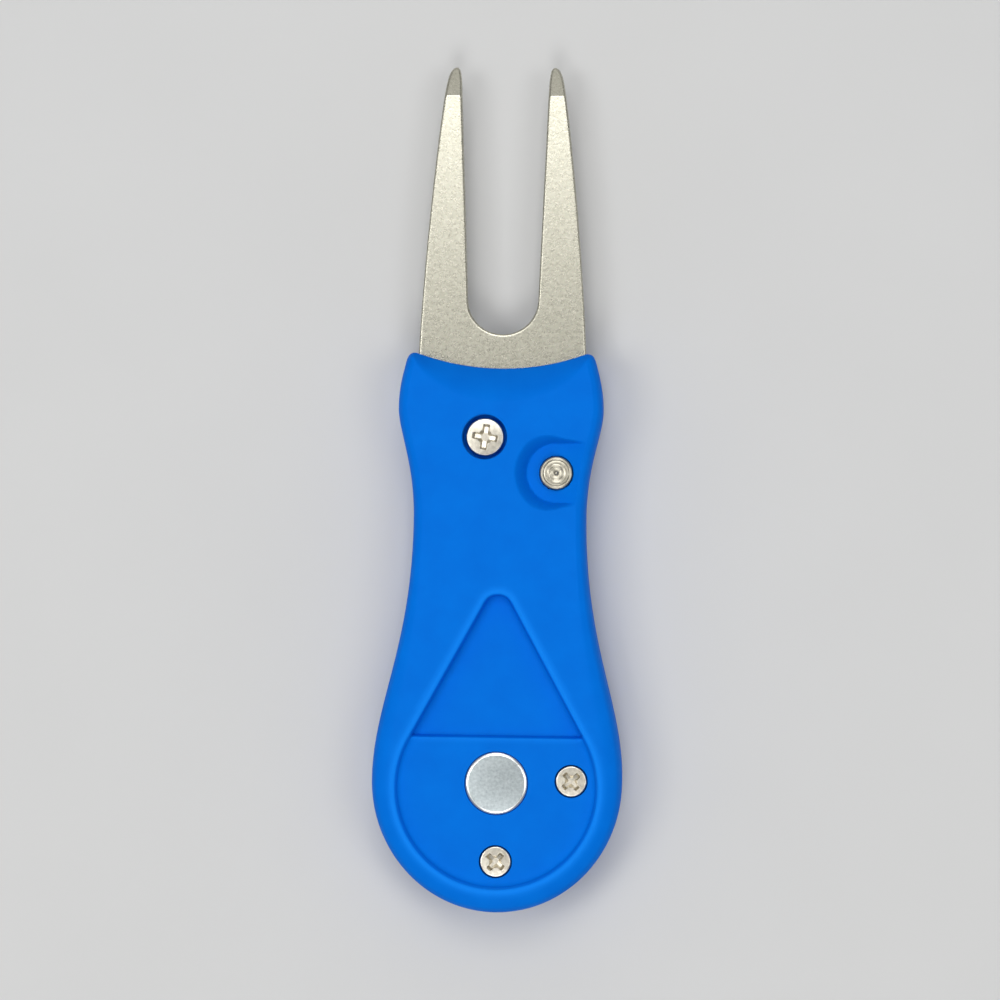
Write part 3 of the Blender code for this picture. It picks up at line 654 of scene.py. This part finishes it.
def make_rear_cover():
    """The rear cover, made face up and turned over, then carved for the fork and the springs."""
    groups = [
        (offset_rings(HANDLE_LINE, roll_insets(ROLL_WIDTH) + MESH_INSETS), 0.012),
        (bore_rings((PIVOT.x, PIVOT.y), POST_BORE_RADIUS, 96), 0.02),
        (grid_points(REAR.low[:2], REAR.high[:2], 0.7), 0.2),
    ]
    wall = ((0.0, 1.2 - REAR.top), (0.0, PARTING_CHAMFER - REAR.top), (PARTING_CHAMFER, -REAR.top))
    cover = relief("rear_cover_shell", [HANDLE_LINE], groups, rear_depth, base=-REAR.top, wall=wall)
    cover.data.transform(Matrix.Diagonal((1, 1, -1, 1)))
    cover.data.flip_normals()
    above = SLOT_LOW + 1.0
    leaf_half = (LEAF.high[0] - LEAF.low[0]) / 2 + LEAF_ROOM
    left, right = LEAF.x - leaf_half, LEAF.x + leaf_half
    foot, head = LEAF.low[1] - LEAF_ROOM, LEAF.high[1] + LEAF_ROOM
    leaf_room = np.array([(left, foot), (right, foot), (right, head), (left, head)])
    coil_walls = [circle(TANG_CENTRE, radius, 64) for radius in COIL_ROOM_RADII]
    upper = np.array([(-8.6, -14.0), (1.8, -14.0), (1.8, -5.6), (-8.4, -5.6)])
    lower = np.array([(-10.6, -33.0), (3.2, -33.0), (2.6, -16.0), (-8.8, -16.0)])
    cutters = [
        slot_room(),
        prism("leaf_room", [leaf_room], 1.6, above),
        prism("coil_room", coil_walls, 1.8, above),
        prism("upper_core", [upper], 1.6, above),
        prism("lower_core", [lower], 1.6, above),
    ]
    return carved(cover, cutters)


# Fork

def fork_edge(points):
    """Distance from every edge of the fork."""
    distance = signed_distance(points, FORK_LINE)
    for hole in FORK_HOLES:
        distance = np.minimum(distance, -signed_distance(points, hole))
    return np.clip(distance, 0, None)


def fork_top(points):
    """The fork's upper face, with rounded edges and bevelled tips."""
    slope = TIP_BEVEL_DROP / (TIP_Y - TIP_BEVEL_START)
    bevel = slope * np.clip(points[:, 1] - TIP_BEVEL_START, 0, None)
    return FORK_HIGH - bevel - edge_drop(fork_edge(points), FORK_EDGE_TOP, FORK_EDGE_TOP)


def fork_bottom(points):
    """The fork's lower face."""
    return FORK_LOW + edge_drop(fork_edge(points), FORK_EDGE_BOTTOM, FORK_EDGE_BOTTOM)


def lock_notches():
    """The two notches in the tang's rim, as counterclockwise boxes in plan."""
    angle = math.atan2(BUTTON.y - TANG_CENTRE[1], BUTTON.x - TANG_CENTRE[0])
    boxes = []
    for turn in (angle, angle + math.pi):
        along = np.array((math.cos(turn), math.sin(turn)))
        across = np.array((-along[1], along[0]))
        middle = np.array(TANG_CENTRE)
        corners = ((NOTCH_INNER, -NOTCH_HALF_WIDTH), (NOTCH_OUTER, -NOTCH_HALF_WIDTH),
                   (NOTCH_OUTER, NOTCH_HALF_WIDTH), (NOTCH_INNER, NOTCH_HALF_WIDTH))
        boxes.append(np.array([middle + along * r + across * w for r, w in corners]))
    return boxes


def make_fork():
    """The bead-blasted fork in relief on both sides."""
    insets = (0.03, 0.075, 0.13, 0.2, 0.28, 0.4)
    groups = [(offset_rings(FORK_LINE, insets), 0.02)]
    for hole in FORK_HOLES:
        groups.append((np.vstack([moved_in(hole, -inset) for inset in insets]), 0.02))
    for offset in (-0.06, 0.0, 0.06):
        x = np.arange(5.3, 8.4, 0.15)
        row = np.column_stack((x, np.full(len(x), TIP_BEVEL_START + offset)))
        groups.append((np.vstack((row, row * (-1, 1))), 0.03))
    groups.append((grid_points(FORK.low[:2], FORK.high[:2], 0.6), 0.2))
    fork = relief("fork_blade", [FORK_LINE] + FORK_HOLES, groups, fork_top, bottom=fork_bottom)
    notches = [prism(f"notch_{i}", [box], FORK_LOW - 1, FORK_HIGH + 1) for i, box in enumerate(lock_notches())]
    return carved(fork, notches)


# Turned pieces

def turned(name, place, profile, sides=96):
    """A turned piece about a vertical axis, from (radius, height) points running down its outside."""
    work = bmesh.new()
    rings = []
    for radius, height in profile:
        if radius < 1e-6:
            rings.append([work.verts.new((0, 0, height * MM))])
            continue
        angles = np.arange(sides) * math.tau / sides
        rings.append([work.verts.new((radius * math.cos(a) * MM, radius * math.sin(a) * MM, height * MM))
                      for a in angles])
    for upper, lower in zip(rings, rings[1:]):
        for i in range(sides):
            j = (i + 1) % sides
            face = [upper[i % len(upper)], lower[i % len(lower)], lower[j % len(lower)], upper[j % len(upper)]]
            work.faces.new(list(dict.fromkeys(face)))
    piece = finished(name, work)
    piece.location = (place.x * MM, place.y * MM, 0)
    return piece


def make_button():
    """The turned button: a rounded rim, concentric grooves, a centre nub, a flange and a stem."""
    top = BUTTON.top - 0.1
    r = BUTTON_HEAD_RADIUS
    profile = [(0, top + 0.1), (0.12, top + 0.08), (0.24, top - 0.02), (0.3, top - 0.12), (0.5, top - 0.13),
               (0.62, top - 0.08), (0.74, top - 0.06), (0.86, top - 0.09), (0.95, top - 0.15), (1.05, top - 0.15),
               (1.14, top - 0.1), (1.26, top - 0.09), (1.5, top - 0.1), (1.6, top - 0.12)]
    profile += [(1.66, top - 0.05), (1.74, top)]
    for angle in np.linspace(90, 0, 8):
        a = math.radians(angle)
        profile.append((r - 0.3 + 0.3 * math.cos(a), top - 0.3 + 0.3 * math.sin(a)))
    flange = BUTTON.radius
    profile += [(r, 8.7), (flange - 0.1, 8.7), (flange, 8.6), (flange, 8.2), (flange - 0.1, 8.1)]
    profile += [(1.0, 8.1), (1.0, BUTTON.base + 0.2), (0.8, BUTTON.base), (0, BUTTON.base)]
    return turned("button_turned", BUTTON, profile)


def make_magnet():
    """The magnet disc with a narrow chamfer, which its material paints with a highlight."""
    r = MAGNET.radius
    top = MAGNET.top
    profile = [(0, top), (r - 0.42, top), (r - 0.39, top - 0.004), (r - 0.25, top - 0.045), (r - 0.1, top - 0.1),
               (r - 0.03, top - 0.15), (r, top - 0.25), (r, MAGNET.base), (0, MAGNET.base)]
    return turned("magnet_disc", MAGNET, profile)


def copied(node):
    """The mesh of a CAD node, in the model's frame."""
    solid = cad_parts[node]
    work = bmesh.new()
    work.from_mesh(solid.data)
    work.transform(solid.matrix_world)
    bmesh.ops.remove_doubles(work, verts=work.verts, dist=1e-7)
    return work


def sliced(work, point, normal, keep=None):
    """Cut a mesh along a plane. keep, "front" or "back", leaves one side and closes it."""
    cut = bmesh.ops.bisect_plane(work, geom=work.verts[:] + work.edges[:] + work.faces[:], dist=1e-8,
                                 plane_co=Vector(point) * MM, plane_no=normal,
                                 clear_inner=keep == "front", clear_outer=keep == "back")
    if keep:
        bmesh.ops.edgeloop_fill(work, edges=[e for e in cut["geom_cut"] if isinstance(e, bmesh.types.BMEdge)])
    return work


def make_fork_spring():
    """The coil, which stays in the handle, and its upper leg, which turns with the fork."""
    joint = (COIL.x, COIL.y, COIL_TOP)
    return (finished("fork_spring_coil", sliced(copied("fork_spring"), joint, (0, 0, 1), "back")),
            finished("fork_spring_leg", sliced(copied("fork_spring"), joint, (0, 0, 1), "front")))


def make_lock_spring():
    """The leaf, divided along its length."""
    work = copied("lock_spring")
    for y in np.arange(LEAF_FOOT_Y, LEAF_HEAD_Y + 0.1, 0.8):
        sliced(work, (LEAF.x, y, LEAF.base), (0, 1, 0))
    return finished("lock_spring_leaf", work)


def phillips_drop(points, span, width, depth, turn):
    """A cross recess: four wings whose floors rise outwards from a deeper middle."""
    c, s = math.cos(turn), math.sin(turn)
    x = points[:, 0] * c + points[:, 1] * s
    y = -points[:, 0] * s + points[:, 1] * c
    drop = np.zeros(len(points))
    for along, across in ((x, y), (y, x)):
        along, across = np.abs(along), np.abs(across)
        side = np.clip((width / 2 - across) / 0.16, 0, 1)
        end = np.clip((span - along) / 0.3, 0, 1)
        floor = depth * (1 - 0.35 * np.clip((along - 0.35) / (span - 0.35), 0, 1))
        drop = np.maximum(drop, side * end * floor)
    reach = np.hypot(points[:, 0], points[:, 1])
    socket = np.clip((width * 1.1 - reach) / 0.42, 0, 1) * depth
    return np.maximum(drop, socket)


def screw_head(name, place, head_radius, seat, span, width, turn, crown):
    """A domed cross-head screw in relief, with its shank below."""
    edge = 0.17

    def height(points):
        reach = np.hypot(points[:, 0], points[:, 1])
        dome = crown * np.square(reach / head_radius)
        return place.top - dome - edge_drop(head_radius - reach, edge, edge) - phillips_drop(
            points, span, width, 0.95, turn)

    rim = circle((0, 0), head_radius, 96)
    rings = [circle((0, 0), head_radius - inset, 96) for inset in (0.01, 0.03, 0.06, 0.1, 0.17, 0.25)]
    groups = [(np.vstack(rings), 0.015), (grid_points((-head_radius,) * 2, (head_radius,) * 2, 0.055), 0.04)]
    head = relief(name, [rim], groups, height, base=seat)
    work = bmesh.new()
    work.from_mesh(head.data)
    reach = seat - place.base
    bmesh.ops.create_cone(work, cap_ends=True, segments=32, radius1=0.7 * MM, radius2=0.95 * MM, depth=reach * MM,
                          matrix=Matrix.Translation((0, 0, (seat - reach / 2 - 0.01) * MM)))
    work.to_mesh(head.data)
    work.free()
    head.data.shade_smooth()
    head.data.set_sharp_from_angle(angle=math.radians(38))
    head.location = (place.x * MM, place.y * MM, 0)
    return head


# Materials

def node_material(name):
    """An empty Principled material, its node tree and its shader."""
    material = bpy.data.materials.new(name)
    material.use_nodes = True
    return material, material.node_tree, material.node_tree.nodes["Principled BSDF"]


def noise(tree, scale, detail=2.0, roughness=0.5, coordinates="Object"):
    """A noise texture in the piece's own coordinates."""
    place = tree.nodes.new("ShaderNodeTexCoord")
    texture = tree.nodes.new("ShaderNodeTexNoise")
    texture.inputs["Scale"].default_value = scale
    texture.inputs["Detail"].default_value = detail
    texture.inputs["Roughness"].default_value = roughness
    tree.links.new(place.outputs[coordinates], texture.inputs["Vector"])
    return texture.outputs["Fac"]


def ramp(tree, source, stops):
    """A colour ramp from (position, colour) stops."""
    node = tree.nodes.new("ShaderNodeValToRGB")
    elements = node.color_ramp.elements
    while len(elements) < len(stops):
        elements.new(0.5)
    for element, (position, colour) in zip(elements, stops):
        element.position = position
        element.color = (*colour, 1) if len(colour) == 3 else colour
    tree.links.new(source, node.inputs["Fac"])
    return node.outputs["Color"]


def spread(tree, source, low, high):
    """A value mapped from 0..1 to a range."""
    node = tree.nodes.new("ShaderNodeMapRange")
    node.inputs["To Min"].default_value = low
    node.inputs["To Max"].default_value = high
    tree.links.new(source, node.inputs["Value"])
    return node.outputs["Result"]


def bump(tree, shader, source, strength, distance, under=None):
    """A bump on the shader, optionally over another bump."""
    node = tree.nodes.new("ShaderNodeBump")
    node.inputs["Strength"].default_value = strength
    node.inputs["Distance"].default_value = distance
    tree.links.new(source, node.inputs["Height"])
    if under is not None:
        tree.links.new(under, node.inputs["Normal"])
    tree.links.new(node.outputs["Normal"], shader.inputs["Normal"])
    return node.outputs["Normal"]


def mixed(tree, share, first, second):
    """Two colours mixed by a share."""
    node = tree.nodes.new("ShaderNodeMix")
    node.data_type = "RGBA"
    tree.links.new(share, node.inputs["Factor"])
    for socket, value in ((node.inputs[6], first), (node.inputs[7], second)):
        if isinstance(value, tuple):
            socket.default_value = (*value, 1)
        else:
            tree.links.new(value, socket)
    return node.outputs[2]


def soft_touch():
    """Azure soft-touch moulding: fine matte grain, faint mottling, and a painted highlight that lightens the colour
    along the recess's lip and step edge.
    """
    material, tree, shader = node_material("handle_soft_touch")
    mottled = ramp(tree, noise(tree, 260, 3), [(0.3, (0.0, 0.149, 0.670)), (0.7, (0.0, 0.163, 0.705))])
    # Painted highlight: the colour is lightened towards (0.004, 0.215, 0.84) where the vertex attribute marks the
    # recess's lip and step edge.
    painted_highlight = tree.nodes.new("ShaderNodeAttribute")
    painted_highlight.attribute_name = "painted_highlight"
    colour_with_painted_highlight = mixed(tree, painted_highlight.outputs["Fac"], mottled, (0.004, 0.215, 0.84))
    tree.links.new(colour_with_painted_highlight, shader.inputs["Base Color"])
    tree.links.new(spread(tree, noise(tree, 1500, 2), 0.48, 0.62), shader.inputs["Roughness"])
    shader.inputs["Specular IOR Level"].default_value = 0.03
    coarse = bump(tree, shader, noise(tree, 900, 2), 0.12, 0.00004)
    bump(tree, shader, noise(tree, 6500, 3), 0.25, 0.00002, under=coarse)
    return material


def blasted_steel():
    """Bead-blasted stainless steel: a warm grey grain with small bright pits."""
    material, tree, shader = node_material("fork_blasted_steel")
    grain = noise(tree, 3800, 4, 0.6)
    colour = ramp(tree, grain, [(0.30, (0.425, 0.412, 0.337)), (0.5, (0.475, 0.46, 0.38)), (0.70, (0.54, 0.52, 0.44))])
    tree.links.new(colour, shader.inputs["Base Color"])
    shader.inputs["Metallic"].default_value = 1.0
    tree.links.new(spread(tree, noise(tree, 2200, 3), 0.24, 0.31), shader.inputs["Roughness"])
    coarse = bump(tree, shader, noise(tree, 1500, 2), 0.15, 0.00004)
    bump(tree, shader, grain, 0.25, 0.00003, under=coarse)
    return material


def turned_steel(name, rings):
    """Turned stainless steel; rings is the number of tool marks in a millimetre."""
    material, tree, shader = node_material(name)
    place = tree.nodes.new("ShaderNodeTexCoord")
    wave = tree.nodes.new("ShaderNodeTexWave")
    wave.wave_type = "RINGS"
    wave.rings_direction = "Z"
    wave.inputs["Scale"].default_value = rings * 1000 / math.tau
    wave.inputs["Distortion"].default_value = 0.4
    wave.inputs["Detail"].default_value = 1.0
    tree.links.new(place.outputs["Object"], wave.inputs["Vector"])
    colour = ramp(tree, noise(tree, 1800, 3), [(0.3, (0.36, 0.34, 0.27)), (0.7, (0.50, 0.47, 0.39))])
    tree.links.new(colour, shader.inputs["Base Color"])
    shader.inputs["Metallic"].default_value = 1.0
    tree.links.new(spread(tree, noise(tree, 2600, 2), 0.26, 0.38), shader.inputs["Roughness"])
    bump(tree, shader, wave.outputs["Fac"], 0.2, 0.00001)
    return material


def metal(name, dark, light, grain, rough, strength):
    """A plated or ground metal with a fine grain in its colour, gloss and surface."""
    material, tree, shader = node_material(name)
    pattern = noise(tree, grain, 4, 0.6)
    tree.links.new(ramp(tree, pattern, [(0.3, dark), (0.7, light)]), shader.inputs["Base Color"])
    shader.inputs["Metallic"].default_value = 1.0
    tree.links.new(spread(tree, noise(tree, grain * 0.6, 2), rough[0], rough[1]), shader.inputs["Roughness"])
    bump(tree, shader, pattern, strength, 0.00002)
    return material


def paint_rim_highlight(material, radius, colour, rough):
    """Paint a highlight on a round piece beyond a radius about its own axis: a brighter colour there, and a lower
    roughness.
    """
    tree = material.node_tree
    shader = tree.nodes["Principled BSDF"]
    place = tree.nodes.new("ShaderNodeTexCoord")
    plan = tree.nodes.new("ShaderNodeVectorMath")
    plan.operation = "MULTIPLY"
    plan.inputs[1].default_value = (1, 1, 0)
    tree.links.new(place.outputs["Object"], plan.inputs[0])
    reach = tree.nodes.new("ShaderNodeVectorMath")
    reach.operation = "LENGTH"
    tree.links.new(plan.outputs["Vector"], reach.inputs[0])
    share = tree.nodes.new("ShaderNodeMapRange")
    share.inputs["From Min"].default_value = (radius - 0.03) * MM
    share.inputs["From Max"].default_value = (radius + 0.03) * MM
    tree.links.new(reach.outputs["Value"], share.inputs["Value"])
    for name, value in (("Base Color", colour), ("Roughness", (rough,) * 3)):
        within = shader.inputs[name].links[0].from_socket
        tree.links.new(mixed(tree, share.outputs["Result"], within, value), shader.inputs[name])


def place_piece(piece, material, body, slot, *nodes):
    """Give a piece its material and its body, and hide the nodes it stands for. slot, the slot it takes its finish
    from, is not used.
    """
    piece.data.materials.clear()
    piece.data.materials.append(material)
    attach(piece, body)
    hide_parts(*nodes)
    return piece


def dress_node(node, material):
    """A better material on a CAD node that is shown as it is."""
    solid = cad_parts[node]
    solid.data.materials.clear()
    solid.data.materials.append(material)


# Stage

def make_floor():
    """A plain pale floor."""
    work = bmesh.new()
    bmesh.ops.create_grid(work, x_segments=1, y_segments=1, size=1.5)
    bmesh.ops.translate(work, verts=work.verts, vec=(0, 0, -0.00002))
    floor = finished("floor", work)
    material, tree, shader = node_material("pale_floor")
    colour = ramp(tree, noise(tree, 40, 2), [(0.3, (0.625, 0.625, 0.62)), (0.7, (0.635, 0.635, 0.63))])
    tree.links.new(colour, shader.inputs["Base Color"])
    shader.inputs["Roughness"].default_value = 0.9
    floor.data.materials.append(material)


def add_light(name, place, aim, size, power, colour=(1, 1, 1)):
    """A square soft light aimed at a point."""
    data = bpy.data.lights.new(name, "AREA")
    data.shape = "SQUARE"
    data.size = size
    data.energy = power
    data.color = colour
    light = bpy.data.objects.new(name, data)
    light.location = place
    light.rotation_euler = (Vector(aim) - Vector(place)).to_track_quat("-Z", "Y").to_euler()
    bpy.context.scene.collection.objects.link(light)


def make_lights():
    """Soft boxes around the camera's axis, stronger on the left, a weak one beyond the tips, and a
    surround that is brightest at the horizon."""
    add_light("upper", (-0.02, 0.32, 0.75), (0, 0, 0), 0.36, 1.96)
    add_light("lower", (-0.02, -0.42, 0.72), (0, 0, 0), 0.30, 1.7)
    add_light("left", (-0.36, -0.03, 0.72), (0, 0, 0), 0.30, 1.52)
    add_light("right", (0.36, -0.03, 0.72), (0, 0, 0), 0.30, 1.06)
    add_light("far", (0.0, 0.85, 0.62), (0, 0.05, 0), 0.5, 0.45)
    world = bpy.data.worlds.new("surround")
    world.use_nodes = True
    tree = world.node_tree
    place = tree.nodes.new("ShaderNodeTexCoord")
    axes = tree.nodes.new("ShaderNodeSeparateXYZ")
    tree.links.new(place.outputs["Generated"], axes.inputs["Vector"])
    sky = ramp(tree, axes.outputs["Z"], [(0.0, (0.62, 0.63, 0.64)), (0.3, (0.50, 0.505, 0.51)),
                                         (0.55, (0.26, 0.262, 0.265)), (0.85, (0.06, 0.061, 0.062))])
    tree.links.new(sky, tree.nodes["Background"].inputs["Color"])
    bpy.context.scene.world = world


def make_camera():
    """A long lens straight above, turned so that the tool leans slightly clockwise."""
    data = bpy.data.cameras.new("camera")
    data.sensor_width = 36.0
    data.lens = data.sensor_width * CAMERA_DISTANCE / VIEW_WIDTH
    data.clip_start = 0.01
    camera = bpy.data.objects.new("camera", data)
    aim = Vector((VIEW_CENTRE[0], VIEW_CENTRE[1], FORK_HIGH)) * MM
    lean = math.radians(CAMERA_LEAN)
    back = Vector((math.sin(CAMERA_TILT[0]), math.sin(CAMERA_TILT[1]), 1)).normalized()
    right = Vector((-math.sin(lean), math.cos(lean), 0)).cross(back).normalized()
    up = back.cross(right)
    turn = Matrix((right, up, back)).transposed()
    camera.matrix_world = Matrix.Translation(aim + back * CAMERA_DISTANCE) @ turn.to_4x4()
    bpy.context.scene.collection.objects.link(camera)
    bpy.context.scene.camera = camera
    bpy.context.scene.view_settings.view_transform = "Standard"


CAMERA_DISTANCE = 0.40
VIEW_WIDTH = 0.13
VIEW_CENTRE = (-0.08, -1.55)
CAMERA_TILT = (0.045, 0.0)
CAMERA_LEAN = 0.66
HANDLE = handle_outline()
HANDLE_LINE = resampled(HANDLE, 0.32)
FLANK = handle_flank()
RECESS = recess_outline()
FORK_LINE = resampled(fork_outline(), 0.3)
FORK_HOLES = [circle(TANG_CENTRE, POST_RADIUS + 0.1, 64),
              circle((TANG_CENTRE[0], TANG_CENTRE[1] + COIL_RADIUS), LEG_HOLE_RADIUS, 20)]

plastic = soft_touch()
steel = blasted_steel()
button_steel = turned_steel("button_turned_steel", 14)
pin_steel = turned_steel("pin_turned_steel", 8)
nickel = metal("bright_nickel", (0.54, 0.505, 0.42), (0.82, 0.77, 0.66), 2000, (0.27, 0.36), 0.4)
magnet_nickel = metal("magnet_nickel", (0.32, 0.36, 0.375), (0.49, 0.54, 0.545), 2800, (0.3, 0.42), 0.3)
# Painted highlight on the magnet's chamfer: its colour goes near white beyond 0.4 mm inside its edge.
paint_rim_highlight(magnet_nickel, MAGNET.radius - 0.4, (0.86, 0.88, 0.88), 0.28)
spring = metal("spring_steel", (0.28, 0.28, 0.29), (0.44, 0.44, 0.45), 1600, (0.28, 0.4), 0.2)
brass = metal("insert_brass", (0.60, 0.40, 0.15), (0.78, 0.58, 0.27), 1800, (0.24, 0.36), 0.2)

place_piece(make_front_cover(), plastic, "handle", "handle_plastic", "front_cover")
place_piece(make_rear_cover(), plastic, "handle", "handle_plastic", "rear_cover")
place_piece(make_fork(), steel, "fork_body", "fork_steel", "fork")
place_piece(make_button(), button_steel, "button_body", "turned_steel", "button")
place_piece(make_magnet(), magnet_nickel, "handle", "magnet_nickel", "magnet")
place_piece(screw_head("pivot_screw_head", PIVOT_SCREW, PIVOT_SCREW.radius, PIVOT_SCREW_SEAT, 1.65, 0.85, -0.14, 0.12),
            nickel, "handle", "screw_nickel", "pivot_screw")
for label, turn in (("side_cover_screw", 0.72), ("bottom_cover_screw", 0.86)):
    screw = COVER_SCREWS[label]
    place_piece(screw_head(label + "_head", screw, screw.radius, screw.top - 1.3, 1.35, 0.72, turn, 0.06),
                nickel, "handle", "screw_nickel", label)
for node in ("pivot_post", "front_washer", "rear_washer", "open_stop_pin", "closed_stop_pin"):
    dress_node(node, pin_steel)
coil, leg = make_fork_spring()
place_piece(coil, spring, "handle", "spring_steel", "fork_spring")
place_piece(leg, spring, "fork_body", "spring_steel", "fork_spring")
leaf = make_lock_spring()
leaf.data.materials.clear()
leaf.data.materials.append(spring)
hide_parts("lock_spring")
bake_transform(leaf)
for node in ("lock_spring_screw_a", "lock_spring_screw_b"):
    dress_node(node, nickel)
for node in ("side_insert", "bottom_insert"):
    dress_node(node, brass)

make_floor()
make_lights()
make_camera()

bpy.context.view_layer.update()
